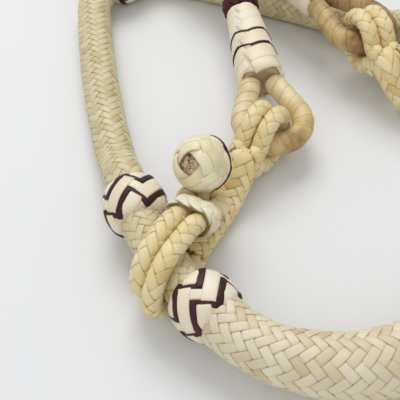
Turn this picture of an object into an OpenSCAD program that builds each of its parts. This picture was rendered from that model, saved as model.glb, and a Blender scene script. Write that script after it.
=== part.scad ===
// Braided rawhide halter, laid on a table with its crown strap unfastened.
// Plus Y runs from the nose part to the jaw part of the noseband, and plus Z is up.
// The origin is on the table, inside the noseband's opening and on its line of symmetry.

/* [Noseband] */
// Diameter of the thick braid at the middle of the nose
nose_d = 22; // [19:0.5:23]
// Diameter of the braid along the jaw
jaw_d = 14.4; // [13:0.2:14.8]
// Diameter of the core inside the braid
core_d = 8; // [6:0.5:10]
// Diameter of the stop knots
stop_knot_d = 22.4; // [20:0.2:24]
// Length of the stop knots
stop_knot_len = 14.5; // [12:0.5:15]

/* [Connectors] */
// Diameter of the doubled cord round the noseband
cord_d = 6.7; // [6:0.1:6.8]
// Diameter of the two cords through the cheek loop
eye_d = 6.5; // [6:0.1:6.6]
// Diameter of the button
ball_d = 19.8; // [17:0.2:21]
// Length of the keeper ring
keeper_len = 6.8; // [6:0.2:7.4]

/* [Cheekpieces] */
// Diameter of the wrapped cheek loop
loop_d = 8.6; // [7:0.1:8.8]
// Length of the long knot
long_knot_len = 40.7; // [36:0.1:41]
// Diameter of the long knot at the cheek loop
long_knot_wide = 19; // [18.5:0.1:19.4]
// Diameter of the long knot at the strap
long_knot_slim = 13.4; // [12:0.2:15]
// Diameter of the braided strap
strap_d = 10; // [8:0.5:10.5]

/* [Hidden] */
$fn = 40;

// Space between pieces that slide or turn on each other
gap = 0.35;
// Space between pieces that are worked tightly over each other
fit = 0.06;

CREAM = "#e6dcb8";
OLIVE = "#d8cda0";
TAN = "#cda970";
WHITE = "#eee6d4";
BURGUNDY = "#3c0d16";
PITH = "#a5835a";

// ---------- vectors and sweeps ----------
function unit(v) = v / norm(v);
function sum(v, n) = n < 0 ? 0 : v[n] + sum(v, n - 1);
function smooth(t) = let (u = min(1, max(0, t))) u * u * (3 - 2 * u);
function mix(a, b, t) = a + (b - a) * t;
function flip(p) = [-p[0], p[1], p[2]];
function reversed(v) = [for (i = [len(v) - 1 : -1 : 0]) v[i]];

// Direction of travel at point i of a route
function along(p, i) = unit(p[min(i + 1, len(p) - 1)] - p[max(i - 1, 0)]);

// Sides points round point i of a route that lies nearly flat: r is [sideways, upward]
function ring(p, i, r, sides) = let (
    t = along(p, i),
    b = unit(cross([0, 0, 1], t)),
    u = cross(t, b))
    [for (k = [0 : sides - 1]) let (a = 360 * (k + 0.5) / sides)
        p[i] + r[0] * cos(a) * b + r[1] * sin(a) * u];

// Triangles between the rings of a tube whose points start at first
function side_faces(rings, sides, first) = [for (i = [0 : rings - 2]) for (k = [0 : sides - 1])
    let (a = first + i * sides, b = a + sides, m = (k + 1) % sides)
    each [[a + k, b + k, b + m], [a + k, b + m, a + m]]];
function caps(rings, sides) = [[for (k = [0 : sides - 1]) k],
    [for (k = [sides - 1 : -1 : 0]) (rings - 1) * sides + k]];

// Solid tube along route p. Radii is one [sideways, upward] pair for each point of the route.
module tube(p, radii, sides) {
    n = len(p);
    points = [for (i = [0 : n - 1]) each ring(p, i, radii[i], sides)];
    polyhedron(points, concat(caps(n, sides), side_faces(n, sides, 0)), convexity = 10);
}

// Hollow tube with open ends along route p, with its outer and inner radius
module sleeve(p, outer, inner, sides) {
    n = len(p);
    outside = [for (i = [0 : n - 1]) each ring(p, i, [outer[i], outer[i]], sides)];
    inside = [for (i = [0 : n - 1]) each ring(p, i, [inner, inner], sides)];
    m = n * sides;
    ends = [for (k = [0 : sides - 1]) let (j = (k + 1) % sides) each [
        [k, j, m + j, m + k],
        [m - sides + j, m - sides + k, 2 * m - sides + k, 2 * m - sides + j]]];
    faces = concat(side_faces(n, sides, 0),
        [for (f = side_faces(n, sides, m)) reversed(f)], ends);
    polyhedron(concat(outside, inside), faces, convexity = 10);
}

function same(r, n) = [for (i = [1 : n]) [r, r]];

// Smooth route through hand-set points, with count steps between each pair
function blend_point(p0, p1, p2, p3, t) = 0.5 * (2 * p1 + (p2 - p0) * t
    + (2 * p0 - 5 * p1 + 4 * p2 - p3) * t * t + (3 * p1 - p0 - 3 * p2 + p3) * t * t * t);
function route(q, count) = let (n = len(q)) [
    for (i = [0 : n - 2]) for (k = [0 : count - 1])
        blend_point(q[max(i - 1, 0)], q[i], q[i + 1], q[min(i + 2, n - 1)], k / count),
    q[n - 1]];

// ---------- noseband centreline ----------
// Left half from the middle of the nose to the jaw: [length, turn] of each stretch.
// The fifth stretch carries the front knot, the seventh the connector, the ninth the rear knot.
HALF = [[23, 0], [27, -20], [30, -33], [24, -32], [17, 0], [3.5, -13],
    [21, 0], [6, -12], [17, 0], [24, -4], [50, -5], [40, -3]];
FRONT = 4;
SEAT = 6;
REAR = 8;
JAW_STRAIGHT = 7;
SEAT_Z = 14.35;

function stretch_end(s, l, turn) = let (h = s[2]) turn == 0
    ? [s[0] + l * cos(h), s[1] + l * sin(h), h]
    : let (r = l / (turn * PI / 180), e = h + turn)
        [s[0] + r * (sin(e) - sin(h)), s[1] - r * (cos(e) - cos(h)), e];
NOSE_Y = -103.3;
function state(k) = k == 0 ? [0, NOSE_Y, 180]
    : stretch_end(state(k - 1), HALF[k - 1][0], HALF[k - 1][1]);
LAST = state(len(HALF));
JAW_R = (-LAST[0] - JAW_STRAIGHT) / sin(LAST[2]);
JAW_ARC = [JAW_R * LAST[2] * PI / 180, -LAST[2]];

function before(k) = k == 0 ? 0 : HALF[k - 1][0] + before(k - 1);
LIFT_FROM = before(1);
LIFT_TO = before(FRONT);
FALL_FROM = before(REAR + 1);
FALL_TO = before(REAR + 2);
SIDE_Z = jaw_d / 2 + 0.1;
JAW_Z = 10.5;
RISE_FROM = before(len(HALF)) - 3;
RISE_TO = before(len(HALF)) + 15;
function height(s) =
    s < LIFT_TO ? mix(nose_d / 2, SEAT_Z, smooth((s - LIFT_FROM) / (LIFT_TO - LIFT_FROM)))
    : s < RISE_FROM ? mix(SEAT_Z, SIDE_Z, smooth((s - FALL_FROM) / (FALL_TO - FALL_FROM)))
    : mix(SIDE_Z, JAW_Z, smooth((s - RISE_FROM) / (RISE_TO - RISE_FROM)));

// Points along stretch k, at steps fractions of its length
function stretch_points(k, steps) = let (s = state(k), l = HALF[k][0], turn = HALF[k][1])
    [for (i = [0 : steps - 1]) let (q = stretch_end(s, l * i / steps, turn * i / steps))
        [q[0], q[1], height(before(k) + l * i / steps)]];
STEPS = [1, 5, 4, 4, 1, 2, 1, 2, 1, 3, 3, 2];
JAW_STEPS = 5;
HALF_POINTS = [
    for (k = [0 : len(HALF) - 1]) each stretch_points(k, STEPS[k]),
    for (i = [0 : JAW_STEPS])
        let (t = i / JAW_STEPS, q = stretch_end(LAST, JAW_ARC[0] * t, JAW_ARC[1] * t))
        [q[0], q[1], height(before(len(HALF)) + JAW_ARC[0] * t)]];
NOSE_COUNT = sum(STEPS, FRONT - 1) + 1;
JAW_END = [-fit, LAST[1] + JAW_R * (1 - cos(LAST[2])), JAW_Z];

// Left half and mirrored right half of the ring, from the jaw round the nose to the jaw
RING_HALF = concat(HALF_POINTS, [JAW_END]);
BODY_ROUTE = concat(reversed(RING_HALF), [for (i = [1 : len(RING_HALF) - 1]) flip(RING_HALF[i])]);
NOSE_HALF = [for (i = [0 : NOSE_COUNT - 1]) HALF_POINTS[i]];
NOSE_ROUTE = concat(reversed(NOSE_HALF), [for (i = [1 : NOSE_COUNT - 1]) flip(NOSE_HALF[i])]);
// The nose braid is full at the middle and thins towards its ends at the front knots
NOSE_END_R = 8.8;
NOSE_TAPER = 34;
NOSE_RADII = [for (p = NOSE_ROUTE) mix(nose_d / 2, NOSE_END_R, smooth((p[1] - NOSE_Y) / NOSE_TAPER))];

function mid_of(k) = stretch_end(state(k), HALF[k][0] / 2, 0);
FRONT_MID = mid_of(FRONT);
REAR_MID = mid_of(REAR);
// Where the connector sits, measured from the front end of its stretch
SEAT_OFFSET = 8.5;
SEAT_AT = stretch_end(state(SEAT), SEAT_OFFSET, 0);

module on_noseband(at) { translate([at[0], at[1], SEAT_Z]) rotate([0, 0, at[2]]) children(); }
module mirrored() { mirror([1, 0, 0]) children(); }

// ---------- knots ----------
// Radius of a barrel's side from its length, its width and the width of its ends
function barrel_r(len, d, end_d) = let (h = (d - end_d) / 2) (len * len / 4 + h * h) / (2 * h);
// Barrel-shaped woven knot round a bore, with its axis along X
module barrel(len, d, bore, end_d) {
    big = barrel_r(len, d, end_d);
    rotate([0, 90, 0]) rotate_extrude() difference() {
        intersection() {
            translate([0, -len / 2]) square([d / 2, len]);
            translate([d / 2 - big, 0]) circle(big, $fn = 120);
        }
        translate([-1, -len]) square([bore / 2 + 1, 2 * len]);
    }
}

// Two rings of dark lace of radius r, let into the surface of a barrel
LINE_R = 0.7;
LINE_AT = 2.6;
LINE_SINK = 0.3;
module knot_lines(len, d, end_d, r) {
    big = barrel_r(len, d, end_d);
    for (x = [-LINE_AT, LINE_AT]) translate([x, 0, 0]) rotate([0, 90, 0]) rotate_extrude()
        translate([d / 2 - big + sqrt(big * big - x * x) - LINE_SINK, 0]) circle(r, $fn = 16);
}

STOP_KNOT_END = 18.4;
module stop_lines(r) { knot_lines(stop_knot_len, stop_knot_d, STOP_KNOT_END, r); }
module stop_knot(at) color(WHITE) on_noseband(at) difference() {
    barrel(stop_knot_len, stop_knot_d, jaw_d + 2 * fit, STOP_KNOT_END);
    stop_lines(LINE_R + fit);
}
module stop_knot_inlay(at) color(BURGUNDY) on_noseband(at) stop_lines(LINE_R);

JAW_KNOT_LEN = 12.5;
JAW_KNOT_D = 20.6;
JAW_KNOT_END = 17.4;
module at_jaw_knot() { translate([0, JAW_END[1], JAW_Z]) children(); }
module jaw_lines(r) { knot_lines(JAW_KNOT_LEN, JAW_KNOT_D, JAW_KNOT_END, r); }
module jaw_knot() color(WHITE) at_jaw_knot() difference() {
    barrel(JAW_KNOT_LEN, JAW_KNOT_D, jaw_d + 2 * fit, JAW_KNOT_END);
    jaw_lines(LINE_R + fit);
}
module jaw_knot_inlay() color(BURGUNDY) at_jaw_knot() jaw_lines(LINE_R);

// ---------- wrapped loops ----------
// Loop lying along X: a round end about the origin, and two legs of cord of diameter d that
// close towards x = face, where each is half away from the X axis
function leg_turn(r, face, half) = asin(r / norm([face, half])) - atan(half / face);
LOOP_STEPS = 14;
module wrapped_loop(r, d, face, half) {
    a = leg_turn(r, face, half);
    leg = norm([face - r * sin(a), half - r * cos(a)]) - d / 2 * tan(a);
    reach = [r * sin(a) + leg * cos(a), r * cos(a) - leg * sin(a)];
    arc = [for (i = [0 : LOOP_STEPS]) let (t = a - (180 + 2 * a) * i / LOOP_STEPS)
        [r * sin(t), r * cos(t), 0]];
    p = concat([[reach[0], reach[1], 0]], arc, [[reach[0], -reach[1], 0]]);
    tube(p, same(d / 2, len(p)), 18);
}

// The lead loop leans down from the jaw knot to lie on the table
LEAD_R = 12;
LEAD_D = 7.4;
LEAD_REACH = 42;
LEAD_LEGS = 4;
LEAD_DROP = asin((JAW_Z - LEAD_D / 2 - 0.2) / (LEAD_REACH + LEAD_R));
module lead_loop() color(TAN) at_jaw_knot() rotate([0, LEAD_DROP, 90])
    translate([LEAD_REACH, 0, 0]) rotate([0, 0, 180])
    wrapped_loop(LEAD_R, LEAD_D, LEAD_REACH - JAW_KNOT_D / 2, LEAD_LEGS);

// ---------- connectors ----------
// A connector's own route, seen from above: straight to BEND_FROM, then an arc, then straight.
// Each connector is its heading, how far it bends, how far its end is lifted, and where the
// middle of its button stands from its neck as [along, left, up]. The right one is mirrored.
LEFT = [23, 0, 0, [4.8, 3.2, 12.55]];
RIGHT = [14, 95, 7.8, [4.1, 2.5, 12.9]];
BEND_FROM = 35;
BEND_LEN = 18;
LIFT_D = [36, 53];
function axis_at(d, bend) = let (
    a = stretch_end([0, 0, 0], min(d, BEND_FROM), 0),
    t = min(max(d - BEND_FROM, 0), BEND_LEN),
    b = t > 0 ? stretch_end(a, t, bend * t / BEND_LEN) : a)
    stretch_end(b, max(d - BEND_FROM - BEND_LEN, 0), 0);
// Point of connector c at distance d along it, side to its left and z above the table
function link(c, d, side, z) = let (
    q = axis_at(d, c[1]),
    h = q[2] + c[0],
    up = c[2] * smooth((d - LIFT_D[0]) / (LIFT_D[1] - LIFT_D[0])),
    x = q[0] * cos(c[0]) - q[1] * sin(c[0]),
    y = q[0] * sin(c[0]) + q[1] * cos(c[0]))
    [SEAT_AT[0] + x - side * sin(h), SEAT_AT[1] + y + side * cos(h), z + up];
function skew(c) = 90 - SEAT_AT[2] + c[0];

// The doubled cord: its strands go round the noseband, slope down from STRAND_TOP through the
// keeper and meet in a bight round the button's neck at NECK_AT
WRAP_GAP = 0.5;
WRAP_UP = jaw_d / 2 + WRAP_GAP + cord_d / 2;
STRAND = cord_d / 2 + 0.15;
STRAND_TOP = [9, 24.3];
STRAND_MORE = [14, 20];
NECK_AT = [28.7, 2.6, 14.4];
NECK_R = 2.2;
NECK_EYE = NECK_R + gap + cord_d / 2;
BRAID_FROM = 13.4;
UNDER_TO = 4;
DROP = (STRAND_TOP[1] - NECK_AT[2]) / (NECK_AT[0] - STRAND_TOP[0]);
SLOPE = atan(DROP);
function strand_z(d) = STRAND_TOP[1] - DROP * (d - STRAND_TOP[0]);

// One strand from the middle braid, under and round the noseband and up to the keeper
function strand(c, k) = let (b = skew(c), d0 = k * STRAND * tan(b), low = SEAT_Z - WRAP_UP) concat(
    [for (d = [BRAID_FROM - 0.05, d0 + UNDER_TO]) link(c, d, k * STRAND, low)],
    [for (a = [180 : -20 : -17])
        link(c, d0 - WRAP_UP / cos(b) * sin(a), k * STRAND, SEAT_Z + WRAP_UP * cos(a))],
    [for (d = concat(STRAND_TOP[0], STRAND_MORE)) link(c, d, k * STRAND, strand_z(d))]);
// The bight round the button's neck
function neck_bight(c) = [for (a = [115 : -23 : -115]) let (d = NECK_AT[0] + NECK_EYE * cos(a))
    link(c, d, NECK_AT[1] + NECK_EYE * sin(a), strand_z(d))];
function cord_route(c) = concat(strand(c, 1), neck_bight(c), reversed(strand(c, -1)));

// Sideways directions that turn with a route, for round tubes that also go upright
function frames(p) = [
    for (i = 0, b = unit(cross([0, 0, 1], along(p, 0))); i < len(p); i = i + 1,
        t = i < len(p) ? along(p, i) : [1, 0, 0], b = unit(b - (b * t) * t)) b];
module turned_tube(p, r, sides) {
    n = len(p);
    f = frames(p);
    points = [for (i = [0 : n - 1]) let (t = along(p, i), u = cross(t, f[i]))
        for (k = [0 : sides - 1]) let (a = 360 * k / sides)
            p[i] + r * cos(a) * f[i] + r * sin(a) * u];
    polyhedron(points, concat(caps(n, sides), side_faces(n, sides, 0)), convexity = 10);
}
module connector_cord(c) color(CREAM) turned_tube(cord_route(c), cord_d / 2, 10);

KEEPER_AT = 16.8;
KEEPER_WALL = 1.9;
module stadium(half, r) {
    translate([-half, -r]) square([2 * half, 2 * r]);
    for (x = [-half, half]) translate([x, 0]) circle(r);
}
module keeper(c) color(WHITE) translate(link(c, KEEPER_AT, 0, strand_z(KEEPER_AT)))
    rotate([0, SLOPE, c[0]]) rotate([90, 0, 90]) translate([0, 0, -keeper_len / 2])
    linear_extrude(keeper_len) difference() {
        stadium(STRAND, cord_d / 2 + gap + KEEPER_WALL);
        stadium(STRAND, cord_d / 2 + gap);
    }

// The braid under the button as [distance, height, half width, half thickness]
SPLIT_AT = 56;
BRAID = [[BRAID_FROM, 4.2, 6.7, 4], [18, 4.2, 6.4, 4], [26, 3.7, 6.3, 3.6], [35, 3.6, 6.2, 3.5],
    [41, 5, 6.2, 4.1], [46, 8, 6.3, 5], [50, 10.8, 6.5, 5.8], [53, 12.2, 6.8, 6.5],
    [SPLIT_AT, 12.2, 6.9, 6.6]];
module middle_braid(c) color(CREAM)
    tube([for (b = BRAID) link(c, b[0], 0, b[1])], [for (b = BRAID) [b[2], b[3]]], 16);

// The button: a core with a neck, under a woven cover with a square opening and a dark girdle
CORE_R = 6.2;
NECK_SINK = 0.5;
OPENING = 4.4;
OPEN_DEEP = 1.1;
OPEN_TURN = 170;
OPEN_TILT = 54;
GIRDLE_AT = -2.2;
function from_neck(c, t) = link(c, NECK_AT[0] + c[3][0] * t, NECK_AT[1] + c[3][1] * t,
    NECK_AT[2] + c[3][2] * t);
function ball_at(c) = from_neck(c, 1);
module between(a, b) {
    v = b - a;
    translate(a) rotate([0, acos(v[2] / norm(v)), atan2(v[1], v[0])]) children();
}
module neck(c, r) {
    foot = from_neck(c, -NECK_SINK);
    between(foot, ball_at(c)) cylinder(h = norm(ball_at(c) - foot), r = r);
}
// Puts the button's own axis, out through its square opening, along Z
module on_button(c) translate(ball_at(c)) rotate([0, 0, c[0] + OPEN_TURN])
    rotate([0, OPEN_TILT, 0]) children();
module girdle(r) translate([0, 0, GIRDLE_AT]) rotate_extrude()
    translate([sqrt(ball_d * ball_d / 4 - GIRDLE_AT * GIRDLE_AT) - LINE_SINK, 0]) circle(r, $fn = 16);
module button_core(c) color(PITH) {
    translate(ball_at(c)) sphere(CORE_R);
    neck(c, NECK_R);
    on_button(c) translate([-OPENING / 2, -OPENING / 2, 0])
        cube([OPENING, OPENING, ball_d / 2 - OPEN_DEEP]);
}
module button_cover(c) color(WHITE) difference() {
    hole = OPENING + 2 * fit;
    translate(ball_at(c)) sphere(d = ball_d);
    translate(ball_at(c)) sphere(CORE_R + fit);
    neck(c, NECK_R + fit);
    on_button(c) translate([-hole / 2, -hole / 2, 0]) cube([hole, hole, ball_d]);
    on_button(c) girdle(LINE_R + fit);
}
module button_inlay(c) color(BURGUNDY) difference() {
    on_button(c) girdle(LINE_R);
    neck(c, NECK_R + fit);
}

// The two eye cords leave the braid in the lower half of its end, turn back over the bar of the
// cheek loop and return to the upper half
BAR_Z = 12.2;
EYE_UP = 9.6;
EYE_DOWN = 8.7;
EYE_SIDE = eye_d / 2 + 0.15;
EYE_CENTRE = 69.6;
EYE_OUT = 3.4;
EYE_IN = [[SPLIT_AT + 0.05, BAR_Z - EYE_OUT], [58.4, BAR_Z - EYE_OUT], [61, 6.4], [64.5, 3.7]];
EYE_BACK = [[64.5, 21.1], [61, 18.2], [58.4, BAR_Z + EYE_OUT], [SPLIT_AT + 0.05, BAR_Z + EYE_OUT]];
function eye_route(c, side) = concat(
    [for (q = EYE_IN) link(c, q[0], side, q[1])],
    [for (a = [-90 : 20 : 90])
        link(c, EYE_CENTRE + EYE_DOWN * cos(a), side, BAR_Z + (a > 0 ? EYE_UP : EYE_DOWN) * sin(a))],
    [for (q = EYE_BACK) link(c, q[0], side, q[1])]);
module eye_cords(c) color(CREAM)
    for (side = [-EYE_SIDE, EYE_SIDE]) turned_tube(eye_route(c, side), eye_d / 2, 10);

// ---------- cheekpieces ----------
LOOP_R = EYE_SIDE + eye_d / 2 + 0.45 + loop_d / 2;
LOOP_D0 = 77.4;
LOOP_FACE = 19.9;
LOOP_LEGS = loop_d / 2 + 0.2;
// Each cheekpiece is where its loop's round end is centred, its heading and its rise
function loop_at(c, rise) = link(c, LOOP_D0, 0, BAR_Z + LOOP_R * sin(rise));
LEFT_RISE = 5;
RIGHT_RISE = 5.5;
LEFT_CHEEK = [loop_at(LEFT, LEFT_RISE), 61, LEFT_RISE];
RIGHT_CHEEK = [flip(loop_at(RIGHT, RIGHT_RISE)), 95, RIGHT_RISE];
function cheek(k, t) = k[0] + t * [cos(k[1]) * cos(k[2]), sin(k[1]) * cos(k[2]), sin(k[2])];
module on_cheek(k, t = 0) translate(cheek(k, t)) rotate([0, -k[2], k[1]]) children();
module cheek_loop(k) color(TAN) on_cheek(k) wrapped_loop(LOOP_R, loop_d, LOOP_FACE, LOOP_LEGS);

KNOT_FROM = LOOP_FACE + 0.1;
KNOT_TO = KNOT_FROM + long_knot_len;
KNOT_LINES = [14.1, 22.7];
KNOT_LINE_R = 0.5;
KNOT_ROUND = [[1.4, 0], [0.2, 1.2], [0, 3]];
RING_KNOT_LEN = 8;
RING_KNOT_D = 14.8;
RING_KNOT_END = 11.6;
RING_FROM = KNOT_TO + 0.1;
RING_TO = RING_FROM + RING_KNOT_LEN;
function knot_r(x) = mix(long_knot_wide, long_knot_slim, x / long_knot_len) / 2;
module long_knot_lines(r) for (x = KNOT_LINES) translate([x, 0, 0]) rotate([0, 90, 0]) rotate_extrude()
    translate([knot_r(x) - LINE_SINK, 0]) circle(r, $fn = 16);
module long_knot(k) color(WHITE) on_cheek(k, KNOT_FROM) difference() {
    rotate([0, 90, 0]) rotate_extrude() polygon(concat(
        [[strap_d / 2 + fit, 0]],
        [for (q = KNOT_ROUND) [knot_r(q[1]) - q[0], q[1]]],
        [[knot_r(long_knot_len), long_knot_len], [strap_d / 2 + fit, long_knot_len]]));
    long_knot_lines(KNOT_LINE_R + fit);
}
module long_knot_inlay(k) color(BURGUNDY) on_cheek(k, KNOT_FROM) long_knot_lines(KNOT_LINE_R);
module ring_knot(k) color(BURGUNDY) on_cheek(k, RING_FROM + RING_KNOT_LEN / 2)
    barrel(RING_KNOT_LEN, RING_KNOT_D, strap_d + 2 * fit, RING_KNOT_END);

// The straps start straight, inside the long knot, and go over the jaw part to the table
STRAP_Z = strap_d / 2 + 0.1;
function straight_start(k) = [for (t = [KNOT_FROM + 0.1, KNOT_FROM + 19, RING_FROM, RING_TO + 1.5])
    cheek(k, t)];
LEFT_TURNS = [[27, 76, 21.4], [26, 88, 22], [25.5, 101, 21.4], [25.5, 113, 19.4], [26, 124, 14],
    [27, 134, 8.6], [29, 144, 5.7], [31, 153, STRAP_Z], [33, 162, STRAP_Z]];
CROWN_OVER = [[39, 100, 27], [39, 112, 23.6], [41, 124, 17], [46, 136, 11], [52, 148, 6]];
CROWN_FLAT = [[60, 160], [90, 192], [114, 230], [118, 272], [98, 310], [60, 328], [18, 318],
    [-8, 288], [-12, 254], [-4, 228]];
CROWN_TURNS = concat(CROWN_OVER, [for (q = CROWN_FLAT) [q[0], q[1], STRAP_Z]]);
LEFT_STRAP = concat(straight_start(LEFT_CHEEK), route(LEFT_TURNS, 2));
CROWN_ROUTE = concat(straight_start(RIGHT_CHEEK), route(CROWN_TURNS, 3));
module strap(p) color(OLIVE) tube(p, same(strap_d / 2, len(p)), 10);

// ---------- crown fastening ----------
END_KNOT_D = 15;
END_KNOT_LEN = 12;
END_KNOT_FACE = 12.4;
END_KNOT_BORE = 1;
CROWN_LOOP_R = 12.4;
CROWN_LOOP_D = 6;
CROWN_LOOP_FACE = 26;
CROWN_LOOP_LEGS = 3.2;
CROWN_NECK = 6;
CROWN_BALL_X = END_KNOT_LEN + CROWN_NECK + ball_d / 2;
CROWN_BALL_Z = (ball_d - END_KNOT_D) / 2;
// X runs on from the end of strap route p, at the height of the end knot's middle
module at_strap_end(p) {
    q = p[len(p) - 1];
    v = q - p[len(p) - 2];
    translate([q[0], q[1], END_KNOT_D / 2]) rotate([0, 0, atan2(v[1], v[0])]) children();
}
module end_knot(p) color(WHITE) at_strap_end(p) translate([END_KNOT_LEN / 2 + 0.05, 0, 0])
    barrel(END_KNOT_LEN, END_KNOT_D, END_KNOT_BORE, END_KNOT_FACE);
module at_crown_ball() at_strap_end(CROWN_ROUTE) translate([CROWN_BALL_X, 0, CROWN_BALL_Z]) children();
module crown_neck(r) at_strap_end(CROWN_ROUTE) translate([END_KNOT_LEN + 0.1, 0, 0])
    rotate([0, 90, 0]) cylinder(h = CROWN_BALL_X - END_KNOT_LEN, r = r);

// ---------- the pieces ----------
module noseband_core() color(TAN) tube(BODY_ROUTE, same(core_d / 2, len(BODY_ROUTE)), 12);
module body_braid() color(OLIVE) sleeve(BODY_ROUTE, [for (p = BODY_ROUTE) jaw_d / 2], core_d / 2 + fit, 12);
module nose_braid() color(CREAM) sleeve(NOSE_ROUTE, NOSE_RADII, jaw_d / 2 + fit, 12);
module left_front_knot() stop_knot(FRONT_MID);
module left_front_knot_inlay() stop_knot_inlay(FRONT_MID);
module left_rear_knot() stop_knot(REAR_MID);
module left_rear_knot_inlay() stop_knot_inlay(REAR_MID);
module right_front_knot() mirrored() stop_knot(FRONT_MID);
module right_front_knot_inlay() mirrored() stop_knot_inlay(FRONT_MID);
module right_rear_knot() mirrored() stop_knot(REAR_MID);
module right_rear_knot_inlay() mirrored() stop_knot_inlay(REAR_MID);
module left_connector_cord() connector_cord(LEFT);
module left_keeper() keeper(LEFT);
module left_middle_braid() middle_braid(LEFT);
module left_button_core() button_core(LEFT);
module left_button_cover() button_cover(LEFT);
module left_button_inlay() button_inlay(LEFT);
module left_eye_cords() eye_cords(LEFT);
module right_connector_cord() mirrored() connector_cord(RIGHT);
module right_keeper() mirrored() keeper(RIGHT);
module right_middle_braid() mirrored() middle_braid(RIGHT);
module right_button_core() mirrored() button_core(RIGHT);
module right_button_cover() mirrored() button_cover(RIGHT);
module right_button_inlay() mirrored() button_inlay(RIGHT);
module right_eye_cords() mirrored() eye_cords(RIGHT);
module left_cheek_loop() cheek_loop(LEFT_CHEEK);
module left_long_knot() long_knot(LEFT_CHEEK);
module left_long_knot_inlay() long_knot_inlay(LEFT_CHEEK);
module left_ring_knot() ring_knot(LEFT_CHEEK);
module left_cheek_strap() strap(LEFT_STRAP);
module crown_loop_knot() end_knot(LEFT_STRAP);
module crown_loop() color(TAN) at_strap_end(LEFT_STRAP)
    translate([END_KNOT_LEN + 0.1 + CROWN_LOOP_FACE, 0, 0]) rotate([0, 0, 180])
    wrapped_loop(CROWN_LOOP_R, CROWN_LOOP_D, CROWN_LOOP_FACE, CROWN_LOOP_LEGS);
module right_cheek_loop() cheek_loop(RIGHT_CHEEK);
module right_long_knot() long_knot(RIGHT_CHEEK);
module right_long_knot_inlay() long_knot_inlay(RIGHT_CHEEK);
module right_ring_knot() ring_knot(RIGHT_CHEEK);
module crown_strap() strap(CROWN_ROUTE);
module crown_strap_knot() end_knot(CROWN_ROUTE);
module crown_button_core() color(PITH) {
    at_crown_ball() sphere(CORE_R);
    crown_neck(NECK_R);
}
module crown_button_cover() color(WHITE) difference() {
    at_crown_ball() sphere(d = ball_d);
    at_crown_ball() sphere(CORE_R + fit);
    crown_neck(NECK_R + fit);
}

noseband_core();
body_braid();
nose_braid();
left_front_knot();
left_front_knot_inlay();
left_rear_knot();
left_rear_knot_inlay();
right_front_knot();
right_front_knot_inlay();
right_rear_knot();
right_rear_knot_inlay();
jaw_knot();
jaw_knot_inlay();
lead_loop();
left_connector_cord();
left_keeper();
left_middle_braid();
left_button_core();
left_button_cover();
left_button_inlay();
left_eye_cords();
right_connector_cord();
right_keeper();
right_middle_braid();
right_button_core();
right_button_cover();
right_button_inlay();
right_eye_cords();
left_cheek_loop();
left_long_knot();
left_long_knot_inlay();
left_ring_knot();
left_cheek_strap();
crown_loop_knot();
crown_loop();
right_cheek_loop();
right_long_knot();
right_long_knot_inlay();
right_ring_knot();
crown_strap();
crown_strap_knot();
crown_button_core();
crown_button_cover();
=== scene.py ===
"""Braided rawhide halter on a pale table, unfastened at the crown.

The halter's sizes and places are in millimetres, and the meshes, lights and camera are in metres.
"""
import math
from collections import namedtuple

import bpy
import numpy as np
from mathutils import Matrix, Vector


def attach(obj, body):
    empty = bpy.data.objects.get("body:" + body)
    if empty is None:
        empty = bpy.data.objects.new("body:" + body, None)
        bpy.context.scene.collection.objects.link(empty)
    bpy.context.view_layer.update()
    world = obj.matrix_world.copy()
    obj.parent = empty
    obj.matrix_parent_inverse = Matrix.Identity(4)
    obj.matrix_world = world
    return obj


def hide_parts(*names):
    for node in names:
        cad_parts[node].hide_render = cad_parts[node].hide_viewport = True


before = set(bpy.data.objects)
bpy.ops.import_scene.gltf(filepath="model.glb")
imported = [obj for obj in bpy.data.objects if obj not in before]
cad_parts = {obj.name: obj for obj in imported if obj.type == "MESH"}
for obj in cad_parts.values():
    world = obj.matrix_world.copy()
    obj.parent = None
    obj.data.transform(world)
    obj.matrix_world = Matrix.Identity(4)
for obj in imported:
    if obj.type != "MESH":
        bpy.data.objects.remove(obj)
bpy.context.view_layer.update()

MM = 0.001
rng = np.random.default_rng(11)
scene = bpy.context.scene


# ---------------------------------------------------------------- camera, light and floor
def look(obj, at):
    way = Vector(at) - obj.location
    obj.rotation_euler = way.to_track_quat("-Z", "Y").to_euler()


def add_camera(at, turn, rise, away, lens):
    """Camera at a distance from the point it looks at, turned and raised by angles in degrees."""
    data = bpy.data.cameras.new("camera")
    data.lens = lens
    data.sensor_width = 36
    data.clip_start = 0.01
    camera = bpy.data.objects.new("camera", data)
    scene.collection.objects.link(camera)
    a, e = math.radians(turn), math.radians(rise)
    back = Vector((math.sin(a) * math.cos(e), -math.cos(a) * math.cos(e), math.sin(e)))
    camera.location = Vector(at) + back * away
    look(camera, at)
    scene.camera = camera


def add_light(name, place, size, power):
    data = bpy.data.lights.new(name, "AREA")
    data.shape = "DISK"
    data.size = size
    data.energy = power
    light = bpy.data.objects.new(name, data)
    scene.collection.objects.link(light)
    light.location = place
    look(light, (-0.04, 0, 0))


def add_world(colour, strength):
    world = bpy.data.worlds.new("studio")
    world.use_nodes = True
    background = world.node_tree.nodes["Background"]
    background.inputs["Color"].default_value = (*colour, 1)
    background.inputs["Strength"].default_value = strength
    scene.world = world


def add_floor(half, grey):
    mesh = bpy.data.meshes.new("floor")
    corners = [(-half, -half, 0), (half, -half, 0), (half, half, 0), (-half, half, 0)]
    mesh.from_pydata(corners, [], [(0, 1, 2, 3)])
    floor = bpy.data.objects.new("floor", mesh)
    scene.collection.objects.link(floor)
    mat = bpy.data.materials.new("table")
    mat.use_nodes = True
    shader = mat.node_tree.nodes["Principled BSDF"]
    shader.inputs["Base Color"].default_value = (grey, grey, grey, 1)
    shader.inputs["Roughness"].default_value = 0.6
    mesh.materials.append(mat)


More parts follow.
